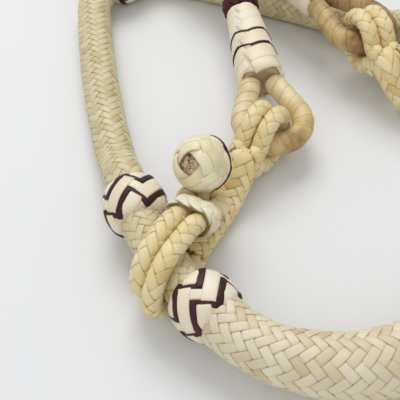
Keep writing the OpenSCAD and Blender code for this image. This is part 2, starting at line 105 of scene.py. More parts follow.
add_camera(at=(-0.049, -0.005, 0), turn=-38, rise=48, away=0.309, lens=76.8)
add_world(colour=(0.95, 0.97, 1), strength=0.6)
add_light("key", place=(0.35, 0.75, 1.2), size=1.0, power=10)
add_light("fill", place=(-0.9, -0.6, 1.0), size=1.3, power=4)
add_floor(half=4, grey=0.78)
scene.view_settings.view_transform = "Standard"


# ---------------------------------------------------------------- layout of the noseband
def smooth(t):
    """Soft step from 0 to 1."""
    t = np.clip(t, 0, 1)
    return t * t * (3 - 2 * t)


def mix(a, b, t):
    return a + (b - a) * t


def stretch_end(start, length, turn):
    """End (x, y, heading) of a stretch that is straight or bends evenly through turn degrees."""
    x, y, heading = start
    h = math.radians(heading)
    if turn == 0:
        return (x + length * math.cos(h), y + length * math.sin(h), heading)
    r, e = length / math.radians(turn), h + math.radians(turn)
    return (x + r * (math.sin(e) - math.sin(h)), y - r * (math.cos(e) - math.cos(h)), heading + turn)


# Left half of the noseband from the middle of the nose: length and turn of each stretch
HALF = [(23, 0), (27, -20), (30, -33), (24, -32), (17, 0), (3.5, -13), (21, 0), (6, -12), (17, 0),
        (24, -4), (50, -5), (40, -3)]
FRONT, SEAT, REAR = 4, 6, 8  # the stretches with the front knot, the connector and the rear knot
NOSE_Y, JAW_STRAIGHT = -103.3, 7
SEAT_Z, JAW_Z = 14.35, 10.5  # heights of the centreline at the connector and at the jaw knot
NOSE_R, NOSE_END_R, JAW_R = 11, 8.8, 7.2
NOSE_TAPER = 34  # how far back from the middle of the nose the nose braid tapers
JAW_RISE_EARLY, JAW_RISE_LEN = 3, 18


def follow(stretches):
    """States (x, y, heading) at the start of each stretch and at the end of the last."""
    states = [(0, NOSE_Y, 180)]
    for length, turn in stretches:
        states.append(stretch_end(states[-1], length, turn))
    return states


LAST = follow(HALF)[-1]
ARC_R = (-LAST[0] - JAW_STRAIGHT) / math.sin(math.radians(LAST[2]))
ALL = HALF + [(ARC_R * math.radians(LAST[2]), -LAST[2]), (JAW_STRAIGHT, 0)]
STATES = follow(ALL)
STARTS = [sum(h[0] for h in ALL[:k]) for k in range(len(ALL) + 1)]
HALF_LEN = STARTS[-1]
JAW_AT = (0, STATES[-1][1], JAW_Z)


def height(s):
    """Height of the centreline: the braid lies on the table, and rises to the connector and the jaw knot."""
    if s < STARTS[FRONT]:
        return mix(NOSE_R, SEAT_Z, smooth((s - STARTS[1]) / (STARTS[FRONT] - STARTS[1])))
    rise, low = STARTS[len(HALF)] - JAW_RISE_EARLY, JAW_R + 0.1
    if s < rise:
        return mix(SEAT_Z, low, smooth((s - STARTS[REAR + 1]) / HALF[REAR + 1][0]))
    return mix(low, JAW_Z, smooth((s - rise) / JAW_RISE_LEN))


def noseband(s):
    """Point of the noseband's centreline at distance s from the middle of the nose, left side positive."""
    t = min(abs(s), HALF_LEN)
    k = max(i for i in range(len(ALL)) if STARTS[i] <= t)
    part = (t - STARTS[k]) / ALL[k][0]
    q = stretch_end(STATES[k], ALL[k][0] * part, ALL[k][1] * part)
    return (math.copysign(1, s) * q[0], q[1], height(t))


# ---------------------------------------------------------------- layout of the connectors
# A connector: its heading, how far it bends and rises towards its eye, and the button's place from its neck
Connector = namedtuple("Connector", "heading bend lift ball")
LEFT = Connector(23, 0, 0, (4.8, 3.2, 12.55))
RIGHT = Connector(14, 95, 7.8, (4.1, 2.5, 12.9))
SEAT_IN = 8.5  # from the start of its stretch to the point where the connector's axis crosses the noseband
SEAT_AT = stretch_end(STATES[SEAT], SEAT_IN, 0)
BEND_FROM, BEND_LEN = 35, 18
LIFT_FROM, LIFT_TO = 36, 53


def axis_at(d, bend):
    """State of a connector's axis at distance d along it, from a start at the origin with heading 0."""
    a = stretch_end((0, 0, 0), min(d, BEND_FROM), 0)
    t = min(max(d - BEND_FROM, 0), BEND_LEN)
    b = stretch_end(a, t, bend * t / BEND_LEN) if t > 0 else a
    return stretch_end(b, max(d - BEND_FROM - BEND_LEN, 0), 0)


def link(c, d, side, z):
    """Point of a connector, d along its axis, side to the left of it and z high before its lift."""
    q, h0 = axis_at(d, c.bend), math.radians(c.heading)
    h = math.radians(q[2]) + h0
    up = c.lift * smooth((d - LIFT_FROM) / (LIFT_TO - LIFT_FROM))
    x = q[0] * math.cos(h0) - q[1] * math.sin(h0) - side * math.sin(h)
    y = q[0] * math.sin(h0) + q[1] * math.cos(h0) + side * math.cos(h)
    return (SEAT_AT[0] + x, SEAT_AT[1] + y, z + up)


CORD_R, EYE_R, BALL_R, STRAP_R = 3.35, 3.25, 9.9, 5
LOOP_D = 8.6
WRAP_UP = JAW_R + 0.5 + CORD_R  # from the noseband's centreline to the cord that goes round it
STRAND = CORD_R + 0.15  # from the axis to each strand of the doubled cord
NECK_R, NECK_AT = 2.2, (28.7, 2.6, 14.4)
NECK_EYE = NECK_R + 0.35 + CORD_R
STRAND_TOP, BRAID_FROM = (9, 24.3), 13.4
DROP = (STRAND_TOP[1] - NECK_AT[2]) / (NECK_AT[0] - STRAND_TOP[0])


def strand_z(d):
    return STRAND_TOP[1] - DROP * (d - STRAND_TOP[0])


def strand(c, k):
    """One strand of the doubled cord, k 1 or -1: from the braid under the noseband, round it and back."""
    b = math.radians(90 - SEAT_AT[2] + c.heading)
    d0, low = k * STRAND * math.tan(b), SEAT_Z - WRAP_UP
    out = [link(c, d, k * STRAND, low) for d in (BRAID_FROM - 0.05, d0 + 4)]
    for a in range(180, -18, -20):
        t = math.radians(a)
        d = d0 - WRAP_UP / math.cos(b) * math.sin(t)
        out.append(link(c, d, k * STRAND, SEAT_Z + WRAP_UP * math.cos(t)))
    return out + [link(c, d, k * STRAND, strand_z(d)) for d in (9, 14, 20)]


def cord_route(c):
    """The doubled cord from end to end, with its bight round the button's neck."""
    bight = []
    for a in range(115, -116, -23):
        t = math.radians(a)
        d = NECK_AT[0] + NECK_EYE * math.cos(t)
        bight.append(link(c, d, NECK_AT[1] + NECK_EYE * math.sin(t), strand_z(d)))
    return strand(c, 1) + bight + strand(c, -1)[::-1]


# Middle braid: distance along the connector, height, half width and half thickness
BRAID = [(13.4, 4.2, 6.7, 4), (18, 4.2, 6.4, 4), (26, 3.7, 6.3, 3.6), (35, 3.6, 6.2, 3.5), (41, 5, 6.2, 4.1),
         (46, 8, 6.3, 5), (50, 10.8, 6.5, 5.8), (53, 12.2, 6.8, 6.5), (56, 12.2, 6.9, 6.6)]
SPLIT = 56.05  # where the middle braid splits into the eye cords
BAR_Z, EYE_CENTRE = 12.2, 69.6
EYE_UP, EYE_DOWN = 9.6, 8.7  # radii of the eye's bend above and below its middle
EYE_SIDE, EYE_OUT = 3.4, 3.4  # from the middle to an eye cord, sideways and up


def eye_route(c, side):
    """One eye cord: out of the middle braid's lower half, round the eye and back into its upper half."""
    ahead = [(SPLIT, BAR_Z - EYE_OUT), (58.4, BAR_Z - EYE_OUT), (61, 6.4), (64.5, 3.7)]
    back = [(64.5, 21.1), (61, 18.2), (58.4, BAR_Z + EYE_OUT), (SPLIT, BAR_Z + EYE_OUT)]
    out = [link(c, d, side, z) for d, z in ahead]
    for a in range(-90, 91, 20):
        t, up = math.radians(a), EYE_UP if a > 0 else EYE_DOWN
        out.append(link(c, EYE_CENTRE + EYE_DOWN * math.cos(t), side, BAR_Z + up * math.sin(t)))
    return out + [link(c, d, side, z) for d, z in back]


# ---------------------------------------------------------------- layout of the cheekpieces
# A cheekpiece: the centre of its loop's bend, its heading and its rise in degrees
Cheek = namedtuple("Cheek", "start heading rise")
LOOP_R = EYE_SIDE + EYE_R + 0.45 + LOOP_D / 2
LOOP_FROM, LOOP_FACE = 77.4, 19.9
KNOT_FROM, KNOT_LEN, KNOT_D, KNOT_END_D = 20, 40.7, 19, 13.4
RING_LEN, RING_D, RING_END_D = 8, 14.8, 11.6
RING_FROM = KNOT_FROM + KNOT_LEN + 0.1
RING_TO = RING_FROM + RING_LEN


def loop_at(c, rise):
    return link(c, LOOP_FROM, 0, BAR_Z + LOOP_R * math.sin(math.radians(rise)))


def flip(p):
    return (-p[0], p[1], p[2])


LEFT_CHEEK = Cheek(loop_at(LEFT, 5), 61, 5)
RIGHT_CHEEK = Cheek(flip(loop_at(RIGHT, 5.5)), 95, 5.5)


def cheek_way(cheek):
    a, e = math.radians(cheek.heading), math.radians(cheek.rise)
    return np.array((math.cos(a) * math.cos(e), math.sin(a) * math.cos(e), math.sin(e)))


def cheek_at(cheek, t):
    return tuple(np.array(cheek.start) + t * cheek_way(cheek))


STRAP_Z = STRAP_R + 0.1
LEFT_TURNS = [(27, 76, 21.4), (26, 88, 22), (25.5, 101, 21.4), (25.5, 113, 19.4), (26, 124, 14),
              (27, 134, 8.6), (29, 144, 5.7), (31, 153, STRAP_Z), (33, 162, STRAP_Z)]
CROWN_OVER = [(39, 100, 27), (39, 112, 23.6), (41, 124, 17), (46, 136, 11), (52, 148, 6)]
CROWN_FLAT = [(60, 160), (90, 192), (114, 230), (118, 272), (98, 310), (60, 328), (18, 318), (-8, 288),
              (-12, 254), (-4, 228)]


def straight_start(cheek):
    return [cheek_at(cheek, t) for t in (KNOT_FROM + 0.1, KNOT_FROM + 19, RING_FROM, RING_TO + 1.5)]


LEFT_STRAP = straight_start(LEFT_CHEEK) + LEFT_TURNS
CROWN_STRAP = straight_start(RIGHT_CHEEK) + CROWN_OVER + [(x, y, STRAP_Z) for x, y in CROWN_FLAT]


# ---------------------------------------------------------------- curves and surfaces
def distances(points):
    """Distance along a chain of points to each of them."""
    return np.concatenate(([0], np.cumsum(np.linalg.norm(np.diff(points, axis=0), axis=1))))


def rows_at(u, s, rows):
    """Rows of a table whose places are s, read at u."""
    return np.column_stack([np.interp(u, s, column) for column in rows.T])


def even(points, step):
    """A chain of points sampled evenly."""
    s = distances(points)
    count = max(8, int(s[-1] / step))
    return rows_at(np.linspace(0, s[-1], count + 1), s, points)


def dense(points, step):
    """Catmull-Rom curve through points, sampled evenly."""
    p = np.array(points, float)
    q = np.vstack((2 * p[0] - p[1], p, 2 * p[-1] - p[-2]))
    out = []
    for i in range(1, len(q) - 2):
        n = max(2, int(np.linalg.norm(q[i + 1] - q[i]) / 0.25))
        t = (np.arange(n) / n)[:, None]
        out.append(0.5 * (2 * q[i] + (q[i + 1] - q[i - 1]) * t
                          + (2 * q[i - 1] - 5 * q[i] + 4 * q[i + 1] - q[i + 2]) * t * t
                          + (3 * q[i] - q[i - 1] - 3 * q[i + 1] + q[i + 2]) * t ** 3))
    return even(np.vstack(out + [p[-1:]]), step)


def as_function(size):
    return size if callable(size) else lambda u: np.full_like(u, size, float)


class Tube:
    """Surface round a centreline. u is the distance along it and v is one turn round it.
    Its half sizes sideways and upward are numbers or functions of u."""

    def __init__(self, points, side, up=None):
        self.p = points
        self.s = distances(points)
        self.len = self.s[-1]
        self.t = np.gradient(points, axis=0)
        self.t /= np.linalg.norm(self.t, axis=1)[:, None]
        b = np.cross((0, 0, 1), self.t[0])
        b /= np.linalg.norm(b)
        sides = []
        for t in self.t:
            b = b - (b @ t) * t
            b /= np.linalg.norm(b)
            sides.append(b)
        self.b = np.array(sides)
        self.n = np.cross(self.t, self.b)
        self.side = as_function(side)
        self.up = self.side if up is None else as_function(up)

    def at(self, u, v, h):
        """Points at height h over the surface, which goes straight on past both ends."""
        a = 2 * np.pi * v
        p, t, b, n = (rows_at(u, self.s, rows) for rows in (self.p, self.t, self.b, self.n))
        past = np.maximum(u - self.len, 0) + np.minimum(u, 0)
        x, y = (self.side(u) + h) * np.cos(a), (self.up(u) + h) * np.sin(a)
        return p + past[:, None] * t + x[:, None] * b + y[:, None] * n

    def around(self, u):
        """Distance round the surface, by Ramanujan's formula for an ellipse."""
        a, b = self.side(u), self.up(u)
        return np.pi * (3 * (a + b) - np.sqrt((3 * a + b) * (a + 3 * b)))


class Turned:
    """Surface of revolution round an axis. u is the distance along its outline, 0 at the middle."""

    def __init__(self, origin, axis, outline, first=(0, 0, 1)):
        self.o = np.array(origin, float)
        self.x = np.array(axis, float) / np.linalg.norm(axis)
        y = np.cross(first, self.x)
        self.y = y / np.linalg.norm(y)
        self.z = np.cross(self.x, self.y)
        points = np.array(outline, float)
        s = distances(points)
        self.q = rows_at(np.linspace(0, s[-1], 160), s, points)
        self.s = distances(self.q)
        self.s -= self.s[-1] / 2
        self.half = self.s[-1]
        d = np.gradient(self.q, axis=0)
        d /= np.linalg.norm(d, axis=1)[:, None]
        self.out = np.column_stack((-d[:, 1], d[:, 0]))

    def at(self, u, v, h):
        x, r = (rows_at(u, self.s, self.q) + h[:, None] * rows_at(u, self.s, self.out)).T
        y, z = r * np.cos(2 * np.pi * v), r * np.sin(2 * np.pi * v)
        return self.o + np.outer(x, self.x) + np.outer(y, self.y) + np.outer(z, self.z)

    def around(self, u):
        return 2 * np.pi * np.interp(u, self.s, self.q[:, 1])


class Stadium:
    """Ring surface with a stadium outline. u is the distance along its axis and v is once round."""

    def __init__(self, middle, axis, across, half, r):
        self.m, self.w, self.a = middle, axis, across
        self.n = np.cross(axis, across)
        self.half, self.r = half, r
        self.total = 4 * half + 2 * math.pi * r

    def at(self, u, v, h):
        s = np.mod(v, 1) * self.total
        back = np.where(s < self.total / 2, 1, -1)
        t = np.mod(s, self.total / 2)
        bend = np.maximum(t - 2 * self.half, 0) / self.r
        x = self.half - np.minimum(t, 2 * self.half) - (self.r + h) * np.sin(bend)
        y = (self.r + h) * np.cos(bend)
        return self.m + np.outer(u, self.w) + np.outer(back * x, self.a) + np.outer(back * y, self.n)

    def around(self, u):
        return np.full_like(np.asarray(u, float), self.total)


# ---------------------------------------------------------------- mesh building
class Shape:
    """Collects vertices, faces and shading values: tint, a random tone, with some painted shade on braids;
    deep, how much shade is painted into the colour where it lies deep; and lace, the place on its
    lace as (along, across, which lace)."""

    def __init__(self):
        self.v, self.f, self.tint, self.deep, self.lace, self.n = [], [], [], [], [], 0

    def add(self, v, f, tint, deep, lace=0.0):
        """f counts from the first vertex added here, and a triangle's row repeats its last corner."""
        self.v.append(v)
        self.f.append(f + self.n)
        self.tint.append(np.broadcast_to(tint, len(v)).astype(np.float32))
        self.deep.append(np.broadcast_to(deep, len(v)).astype(np.float32))
        self.lace.append(np.broadcast_to(lace, (len(v), 3)).astype(np.float32))
        self.n += len(v)

    def grid(self, rings, tint, deep, closed_u=False, caps=True, lace=0.0):
        """rings is [n, m, 3]: closed rings of m points, one after another."""
        n, m = rings.shape[:2]
        i, k = np.meshgrid(np.arange(n if closed_u else n - 1), np.arange(m), indexing="ij")
        a, b = i * m + k, ((i + 1) % n) * m + k
        c, d = ((i + 1) % n) * m + (k + 1) % m, i * m + (k + 1) % m
        self.add(rings.reshape(-1, 3), np.stack((a, d, c, b), -1).reshape(-1, 4), tint, deep, lace)
        if caps and not closed_u:
            base, k = self.n - n * m, np.arange(m)
            for ring, order in ((0, -1), (n - 1, 1)):
                first = base + ring * m - self.n
                tri = np.stack((first + k, first + (k + 1) % m, np.zeros(m, int)), -1)[:, ::order]
                # the cap's middle point gets a middle tint and half painted shade
                self.add(rings[ring].mean(0)[None], np.column_stack((tri, tri[:, -1:])), 0.5, 0.5)


# A lace's cross-section: across as a share of its width, up as a share of its thickness, painted edge shade
PROFILE = np.array([(-0.5, 0.0, 1.0), (-0.5, 0.6, 0.7), (-0.45, 0.88, 0.22), (-0.3, 0.97, 0.03),
                    (0.0, 1.0, 0.0), (0.3, 0.97, 0.03), (0.45, 0.88, 0.22), (0.5, 0.6, 0.7), (0.5, 0.0, 1.0)])


def strip(shape, surf, u, v, h, w, thick, tint, deep=0.0):
    """One flat lace of width w along (u, v) on a surface, at height h over it."""
    count = len(PROFILE)
    u, v = np.asarray(u, float), np.asarray(v, float)
    h, w, tint, deep = (np.broadcast_to(value, len(u)) for value in (h, w, tint, deep))
    around = np.maximum(surf.around(u), 1.0)
    du, dv = np.gradient(u), np.gradient(v) * around
    size = np.maximum(np.hypot(du, dv), 1e-9)
    cu, cv = du / size, dv / size
    rings = [surf.at(u - cv * o * w, v + cu * o * w / around, h + up * thick) for o, up, _ in PROFILE]
    # painted shade: darker at the lace's edges, added to the painted shade it is given
    shade = np.clip(PROFILE[:, 2] * 0.85 + deep[:, None], 0, 1)
    along = np.repeat(np.concatenate(([0], np.cumsum(size[1:]))), count)
    across = np.outer(w, PROFILE[:, 0]).ravel()
    lace = np.stack((along, across, np.full(len(along), 9.7 * rng.random())), 1)
    shape.grid(np.stack(rings, 1) * MM, np.repeat(tint, count), shade.ravel(), lace=lace)


def square_wave(x, sharp):
    """Smooth wave of period 4 that is near +1 for x from -0.5 to 1.5 and near -1 from 1.5 to 3.5."""
    return np.tanh(sharp * np.cos((x - 0.5) * np.pi / 2)) / math.tanh(sharp)


def hash01(*keys):
    """Number from 0 to 1 that looks random and is the same for the same keys."""
    x = np.zeros_like(np.asarray(keys[0], float)) + 0.31
    for i, key in enumerate(keys):
        x = x + np.asarray(key, float) * (12.9898 + 65.233 * i)
    return np.modf(np.abs(np.sin(x) * 43758.5453))[0]


def random_tone(low, spread):
    return lambda: low + spread * rng.random()


def fill(shape, surf, h, start, end, deep, sides=28, step=1.5, caps=True):
    """Plain tube under a braid or knot, with the shade it is given painted on it."""
    u = np.linspace(start, end, max(4, int((end - start) / step)))
    uu, vv = np.meshgrid(u, np.arange(sides) / sides, indexing="ij")
    rings = surf.at(uu.ravel(), vv.ravel(), np.full(uu.size, h)).reshape(len(u), sides, 3) * MM
    shape.grid(rings, 0.6, deep, caps=caps)


def fill_ring(shape, surf, h, half, steps=72):
    """Closed ring wall, a little under the lace, painted in shade."""
    wall = [(-half, h), (half, h), (half, h - 0.45), (-half, h - 0.45)]
    v = np.arange(steps) / steps
    rings = np.stack([surf.at(np.full(steps, u), v, np.full(steps, up)) for u, up in wall], 1) * MM
    shape.grid(rings, 0.5, 0.8, closed_u=True)


def braid(shape, surf, n, angle, thick, seed, base, start=0, end=None, step=0.8, sharp=3.0, patches=0.4):
    """Round braid of n laces each way, over two and under two, with a plain tube at height base under it,
    painted in shade.
    """
    end = surf.len if end is None else end
    mean = float(np.mean(surf.around(np.linspace(start, end, 60))))
    pitch = mean / math.tan(math.radians(angle))
    path = (end - start) / math.cos(math.radians(angle))
    u = np.linspace(start, end, max(8, int(path / step)))
    turn, around = (u - start) / pitch, surf.around(u)
    width = np.cos(np.arctan(around / pitch)) * around / n
    for way, shift in ((1, 0.5), (-1, -1.5)):
        for i in range(n):
            count = 2 * i + way * 2 * turn * n
            up = way * square_wave(count, sharp)
            cell = np.floor((count + shift) / 4)
            pick = hash01(cell, i + 0.5 * way, seed)
            warm = np.clip(0.5 + 0.5 * np.sin(u * 0.11 + 5 * i + seed), 0, 1)
            tint = 0.3 + 0.4 * (pick - 0.5) + patches * np.maximum(pick * warm - 0.45, 0) * 1.5
            # painted shade: a lace is tinted darker where it passes under, and a little lighter on top
            tint = np.clip(tint + 0.16 * np.maximum(-up, -0.3) * hash01(i, cell, seed + 7), 0, 1)
            h = 0.5 * up * thick + 0.08 * (hash01(cell, i, seed + 3) - 0.5)
            # painted shade, more where the lace passes under
            deep = np.clip(0.12 - 0.4 * up, 0, 0.5)
            strip(shape, surf, u, way * turn + i / n, h, width, thick, tint, deep)
    # the tube under the braid is painted nearly in full shade
    fill(shape, surf, base, start, end, 0.95)


def plait(shape, surf, swing, turns, width, thick, seed, lift=0.5):
    """Flat plait of three that runs round the surface: each strand swings along u as it goes once round."""
    v = np.linspace(0, 1, 221)
    for k in range(3):
        a = 2 * np.pi * (turns * v + k / 3)
        pick = hash01(np.floor(a / np.pi), k, seed)
        tint = np.clip(0.15 + 0.4 * (pick - 0.4), 0, 1)
        strip(shape, surf, swing * np.sin(a), v, lift * thick * np.sin(2 * a), width, thick, tint, 0.1)


def zigzag(shape, surf, mid, periods, swing, widths, thick, h, tone, phase=0.0, over=0.28, share=0.5):
    """Band of lace that runs round the surface in straight steps, each step lapped over the last. The first
    step of each pair takes the given share of the way, and the pair has its own two widths."""
    ring = surf.around(np.array([mid]))[0]
    for j in range(periods):
        for way, start, part, w in ((1, 0.0, share, widths[0]), (-1, share, 1 - share, widths[1])):
            grow = 0.42 * w / math.hypot(swing, part * ring / periods)
            t = np.linspace(-grow, 1 + grow, 13)
            u, v = mid + way * swing * (t - 0.5), (j + start + part * t) / periods + phase
            ends = np.where((t < 0.02) | (t > 0.98), -0.35 * thick, 0)
            strip(shape, surf, u, v, h + (over * thick if way > 0 else ends), w, thick, tone())


def turks_head(shape, surf, low, high, bights, leads, width, thick, gap, seed):
    """Round knot of one path of doubled lace that goes bights times up and down and leads times round, over
    and under itself by turns."""
    t = np.linspace(0, 1, 1400)
    x = 2 * bights * leads * t - leads / 2
    part, y = np.floor(x / leads), np.mod(x, leads)
    y = np.where(y < 1, 0.5 + 0.5 * y, np.where(y > leads - 1, leads - 1 + 0.5 * (y - leads + 1), y))
    count = (leads - 1) * part + y
    up = np.tanh(2.2 * np.cos(np.pi * count)) / math.tanh(2.2)
    wave = np.arcsin(0.86 * np.sin(2 * np.pi * bights * t)) / math.asin(0.86)
    u, v = (low + high) / 2 + (high - low) / 2 * wave, leads * t + 0.22
    ring = surf.around(u)
    du, dv = np.gradient(u), np.gradient(v) * ring
    size = np.hypot(du, dv)
    cell = np.floor(count / 2 + 0.25)
    for k in (-1, 1):
        off = k * gap / 2
        tint = np.clip(0.3 + 0.4 * (hash01(cell, k, seed) - 0.5), 0, 1)
        # painted shade where the lace passes under
        deep = np.clip(0.1 - 0.25 * up, 0, 0.3)
        strip(shape, surf, u - off * dv / size, v + off * du / size / ring, 0.48 * thick * up, width, thick,
              tint, deep)


# ---------------------------------------------------------------- materials
def rgb(colour):
    """Linear colour from an 8-bit one."""
    return tuple(((x / 255 + 0.055) / 1.055) ** 2.4 if x > 10 else x / 255 / 12.92 for x in colour)


def plug(tree, node, inputs):
    """Set a node's inputs, each to a plain value or to another node's output."""
    for key, value in inputs.items():
        if isinstance(value, bpy.types.NodeSocket):
            tree.links.new(value, node.inputs[key])
        else:
            node.inputs[key].default_value = value


def add_node(tree, kind, inputs, output, **settings):
    """Make a node and return one of its outputs."""
    node = tree.nodes.new("ShaderNode" + kind)
    for name, value in settings.items():
        setattr(node, name, value)
    plug(tree, node, inputs)
    return node.outputs[output]


def attribute(tree, name, output="Fac"):
    return add_node(tree, "Attribute", {}, output, attribute_name=name)


def noise(tree, vector, scale, detail):
    return add_node(tree, "TexNoise", {"Vector": vector, "Scale": scale, "Detail": detail}, "Fac")


def maths(tree, operation, *values):
    return add_node(tree, "Math", dict(enumerate(values)), "Value", operation=operation)


def ramp(tree, source, stops):
    node = tree.nodes.new("ShaderNodeValToRGB")
    while len(node.color_ramp.elements) < len(stops):
        node.color_ramp.elements.new(0.5)
    for element, (place, colour) in zip(node.color_ramp.elements, stops):
        element.position = place
        element.color = (*colour, 1)
    tree.links.new(source, node.inputs["Fac"])
    return node.outputs["Color"]


def rawhide(name, *colours, rough=0.42, fibre=900, bump=0.25, glow=0.12, grime=0.5, streaks=0.45):
    """Satin rawhide in a light, middle and dark tone, with a fourth, darker colour for the shade painted into
    gaps and hollows: tone from the lace's own tint, from blotches and from streaks along the lace, and fine
    fibres in the bump."""
    light, middle, dark, shade_colour = (rgb(colour) for colour in colours)
    mat = bpy.data.materials.new(name)
    mat.use_nodes = True
    tree = mat.node_tree
    place = add_node(tree, "TexCoord", {}, "Object")
    blotches, fibres = noise(tree, place, 130, 3), noise(tree, place, fibre, 6)
    combed = add_node(tree, "VectorMath", {0: attribute(tree, "lace", "Vector"), 1: (0.22, 3.2, 1)}, "Vector",
                      operation="MULTIPLY")
    streak = noise(tree, combed, 1.0, 4)
    tone = maths(tree, "MULTIPLY_ADD", blotches, grime, attribute(tree, "tint"))
    tone = maths(tree, "MULTIPLY_ADD", streak, streaks, tone)
    tone = maths(tree, "SUBTRACT", tone, (grime + streaks) / 2)
    tone = ramp(tree, tone, [(0.0, light), (0.45, middle), (1.0, dark)])
    # painted shade: the mesh's deep value, sharpened, mixes the tone towards the fourth colour
    shade_weight = maths(tree, "POWER", attribute(tree, "deep"), 1.6)
    shade_mix = {"Factor": shade_weight, "A": tone, "B": (*shade_colour, 1)}
    polish = {"Value": blotches, "To Min": rough - 0.08, "To Max": rough + 0.14}
    relief = maths(tree, "ADD", fibres, streak)
    normal = add_node(tree, "Bump", {"Strength": bump, "Distance": 0.00025, "Height": relief}, "Normal")
    plug(tree, tree.nodes["Principled BSDF"], {
        "Base Color": add_node(tree, "Mix", shade_mix, "Result", data_type="RGBA"),
        "Roughness": add_node(tree, "MapRange", polish, "Result"),
        "Normal": normal,
        "Specular IOR Level": 0.42,
        "Subsurface Weight": glow,
        "Subsurface Radius": (0.0016, 0.001, 0.0006),
        "Subsurface Scale": 1.0})
    return mat


# The fourth colour of each rawhide is the painted shade for gaps and hollows between laces.
CREAM = rawhide("cream_rawhide", (233, 222, 196), (218, 203, 168), (192, 162, 110), (132, 104, 58))
KNOT = rawhide("white_rawhide", (246, 236, 213), (234, 219, 188), (212, 187, 138), (140, 114, 72), glow=0.1)
COVER = rawhide("button_rawhide", (246, 238, 208), (232, 220, 177), (206, 182, 128), (126, 102, 58))
CORD = rawhide("cord_rawhide", (241, 226, 180), (230, 209, 151), (206, 170, 101), (124, 86, 36))
OLIVE = rawhide("jaw_rawhide", (221, 209, 169), (205, 192, 147), (178, 158, 104), (118, 98, 54))
WRAP = rawhide("wrapped_rawhide", (232, 217, 176), (211, 186, 129), (136, 96, 44), (88, 60, 26), grime=1.0)
DYED = rawhide("burgundy_lace", (78, 14, 20), (52, 8, 12), (26, 4, 7), (12, 2, 3), rough=0.5, bump=0.2,
               glow=0.0)
PITH = rawhide("pith", (220, 200, 162), (176, 150, 112), (92, 68, 46), (78, 56, 36), rough=0.8, fibre=1300,
               bump=0.9, glow=0.05, grime=1.6)


def piece(name, shape, mat, body, replaced):
    """Make a mesh object from a shape, in place of the CAD nodes it replaces."""
    mesh = bpy.data.meshes.new(name)
    v, f = np.vstack(shape.v), np.vstack(shape.f)
    tri = f[:, 2] == f[:, 3]
    quads, tris = f[~tri], f[tri][:, :3]
    loops = np.concatenate((quads.ravel(), tris.ravel()))
    sizes = np.concatenate((np.full(len(quads), 4), np.full(len(tris), 3)))
    mesh.vertices.add(len(v))
    mesh.vertices.foreach_set("co", v.astype(np.float32).ravel())
    mesh.loops.add(len(loops))
    mesh.loops.foreach_set("vertex_index", loops.astype(np.int32))
    mesh.polygons.add(len(sizes))
    mesh.polygons.foreach_set("loop_start", np.concatenate(([0], np.cumsum(sizes)[:-1])).astype(np.int32))
    mesh.polygons.foreach_set("use_smooth", np.ones(len(sizes), bool))
    mesh.update(calc_edges=True)
    for key, values in (("tint", shape.tint), ("deep", shape.deep)):
        mesh.attributes.new(key, "FLOAT", "POINT").data.foreach_set("value", np.concatenate(values))
    lace = mesh.attributes.new("lace", "FLOAT_VECTOR", "POINT")
    lace.data.foreach_set("vector", np.vstack(shape.lace).ravel())
    mesh.materials.append(mat)
    obj = bpy.data.objects.new(name, mesh)
    scene.collection.objects.link(obj)
    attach(obj, body)
    if replaced:
        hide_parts(*replaced)


def as_it_is(shape):
    return shape


def mirror_x(shape):
    """The same shape on the other side of the halter, with its faces turned outward again."""
    out = Shape()
    out.v = [a * np.array([-1, 1, 1]) for a in shape.v]
    out.f = [np.where((f[:, 2] == f[:, 3])[:, None], f[:, [1, 0, 2, 2]], f[:, ::-1]) for f in shape.f]
    out.tint, out.deep, out.lace, out.n = shape.tint, shape.deep, shape.lace, shape.n
    return out


# ---------------------------------------------------------------- noseband
LINE = np.array([noseband(s) for s in np.arange(-HALF_LEN, HALF_LEN + 0.5, 1.0)])
LINE_S = distances(LINE)
MID = LINE_S[-1] / 2
NOSE_LACE_IN, JAW_LACE_IN = 1.1, 0.9  # from a braid's outer face to the surface its laces are laid on


def nose_r(u):
    y = np.interp(u, LINE_S, LINE[:, 1])
    return mix(NOSE_R, NOSE_END_R, smooth((y - NOSE_Y) / NOSE_TAPER))


def build_noseband():
    nose_to, jaw_from = STARTS[FRONT] + 3, STARTS[FRONT + 1] - 3
    nose = Tube(LINE, lambda u: nose_r(u) - NOSE_LACE_IN)
    s = Shape()
    braid(s, nose, n=14, angle=45, thick=0.7, seed=1, base=-0.1, start=MID - nose_to, end=MID + nose_to,
          step=0.9, sharp=4, patches=0.5)
    piece("nose_braid_lace", s, CREAM, "noseband", ["nose_braid"])
    jaw = Tube(LINE, JAW_R - JAW_LACE_IN)
    for side, name, replaced in ((-1, "right", []), (1, "left", ["body_braid"])):
        s = Shape()
        start, end = sorted((MID + side * jaw_from, MID + side * (HALF_LEN - 0.2)))
        braid(s, jaw, n=12, angle=42, thick=0.56, seed=5 + side, base=-0.1, start=start, end=end,
              step=0.9, sharp=4, patches=0.3)
        piece(f"{name}_jaw_braid_lace", s, OLIVE, "noseband", replaced)


def barrel_outline(length, d, end_d, rim):
    """Outline of a woven knot from one bore edge over the barrel to the other, with rounded rims."""
    h = (d - end_d) / 2
    big = (length * length / 4 + h * h) / (2 * h)
    x = np.linspace(-length / 2 + rim, length / 2 - rim, 25)
    top = [(a, d / 2 - big + math.sqrt(big * big - a * a)) for a in x]
    cx, cr = top[-1][0], top[-1][1] - rim
    turn = []
    for a in np.linspace(80, -60, 9):
        t = math.radians(a)
        turn.append((cx + rim * math.cos(t), cr + rim * math.sin(t)))
    return [(-x, r) for x, r in turn[::-1]] + top + turn


# Length, diameter and end diameter of each kind of knot
STOP_KNOT, JAW_KNOT = (14.5, 22.4, 18.4), (12.5, 20.6, 17.4)
STOP_PERIODS, STOP_SHARE, DARK_W = 5, 0.6, 1.9
RIM_IN, RIM_SWING, RIM_W = 1.6, 0.75, 1.9
STOP_LACE_IN = 1.3  # from a stop knot's outer face to the surface its laces are laid on


